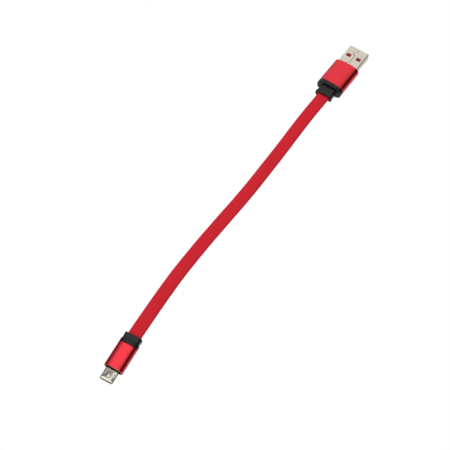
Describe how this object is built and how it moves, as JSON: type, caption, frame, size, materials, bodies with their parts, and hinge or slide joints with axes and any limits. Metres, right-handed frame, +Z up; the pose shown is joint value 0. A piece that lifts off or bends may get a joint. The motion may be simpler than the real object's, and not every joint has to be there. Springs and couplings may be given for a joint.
{
  "type": "charging cable",
  "caption": "Short flat charging cable with a USB-A plug and a micro-B plug, red aluminium sleeves and black plastic collars, laid almost straight.",
  "frame": {"origin": "on the table the cable lies on, under the middle of the box around its two plugs", "axes": "+X along the cable, out of the USB-A plug, which is turned 0.9 degrees; +Z up, away from the table; the micro-B plug points along -X, turned 6.1 degrees"},
  "size_m": [0.2333, 0.0153, 0.0075],
  "materials": {
    "nickel_shell": "satin nickel plate on stamped steel",
    "spring_steel": "bright stamped spring steel",
    "gold_contact": "gold flash over copper alloy",
    "red_aluminium": "satin red anodised",
    "red_insulator": "moulded dark red",
    "black_collar": "moulded fine matte black",
    "natural_mould": "moulded natural white",
    "red_jacket": "matte extruded red",
    "wire_red": "extruded red",
    "wire_white": "extruded white",
    "wire_green": "extruded green",
    "wire_black": "extruded black"
  },
  "bodies": {
    "root": {"usb_a_shell": "nickel_shell", "usb_a_insulator": "red_insulator", "usb_a_contact_vbus": "gold_contact", "usb_a_contact_data_minus": "gold_contact", "usb_a_contact_data_plus": "gold_contact", "usb_a_contact_ground": "gold_contact", "usb_a_sleeve": "red_aluminium", "usb_a_inner_mould": "natural_mould", "usb_a_collar": "black_collar", "micro_shell": "nickel_shell", "micro_insulator": "red_insulator", "micro_sleeve": "red_aluminium", "micro_inner_mould": "black_collar", "micro_collar": "black_collar", "cable_jacket": "red_jacket", "wire_vbus": "wire_red", "wire_data_minus": "wire_white", "wire_data_plus": "wire_green", "wire_ground": "wire_black"},
    "latch_left": {"micro_latch_left": "spring_steel"},
    "latch_right": {"micro_latch_right": "spring_steel"},
    "contact_spring_1": {"micro_contact_spring_1": "gold_contact"},
    "contact_spring_2": {"micro_contact_spring_2": "gold_contact"},
    "contact_spring_3": {"micro_contact_spring_3": "gold_contact"},
    "contact_spring_4": {"micro_contact_spring_4": "gold_contact"},
    "contact_spring_5": {"micro_contact_spring_5": "gold_contact"}
  },
  "joints": [
    {"name": "latch_left_press", "type": "hinge", "parent": "root", "child": "latch_left", "pos_m": [-0.10704, -0.00458, 0.00334], "axis": [0.1063, -0.9943, 0], "range_deg": [0, 3.1], "stiffness_Nm_per_rad": 0.18},
    {"name": "latch_right_press", "type": "hinge", "parent": "root", "child": "latch_right", "pos_m": [-0.10756, 0.00029, 0.00334], "axis": [0.1063, -0.9943, 0], "range_deg": [0, 3.1], "stiffness_Nm_per_rad": 0.18},
    {"name": "contact_spring_1_flex", "type": "hinge", "parent": "root", "child": "contact_spring_1", "pos_m": [-0.10716, -0.00344, 0.0028], "axis": [0.1063, -0.9943, 0], "range_deg": [0, 1.5], "stiffness_Nm_per_rad": 0.15},
    {"name": "contact_spring_2_flex", "type": "hinge", "parent": "root", "child": "contact_spring_2", "pos_m": [-0.10723, -0.00279, 0.0028], "axis": [0.1063, -0.9943, 0], "range_deg": [0, 1.5], "stiffness_Nm_per_rad": 0.15},
    {"name": "contact_spring_3_flex", "type": "hinge", "parent": "root", "child": "contact_spring_3", "pos_m": [-0.1073, -0.00214, 0.0028], "axis": [0.1063, -0.9943, 0], "range_deg": [0, 1.5], "stiffness_Nm_per_rad": 0.15},
    {"name": "contact_spring_4_flex", "type": "hinge", "parent": "root", "child": "contact_spring_4", "pos_m": [-0.10737, -0.0015, 0.0028], "axis": [0.1063, -0.9943, 0], "range_deg": [0, 1.5], "stiffness_Nm_per_rad": 0.15},
    {"name": "contact_spring_5_flex", "type": "hinge", "parent": "root", "child": "contact_spring_5", "pos_m": [-0.10744, -0.00085, 0.0028], "axis": [0.1063, -0.9943, 0], "range_deg": [0, 1.5], "stiffness_Nm_per_rad": 0.15}
  ]
}
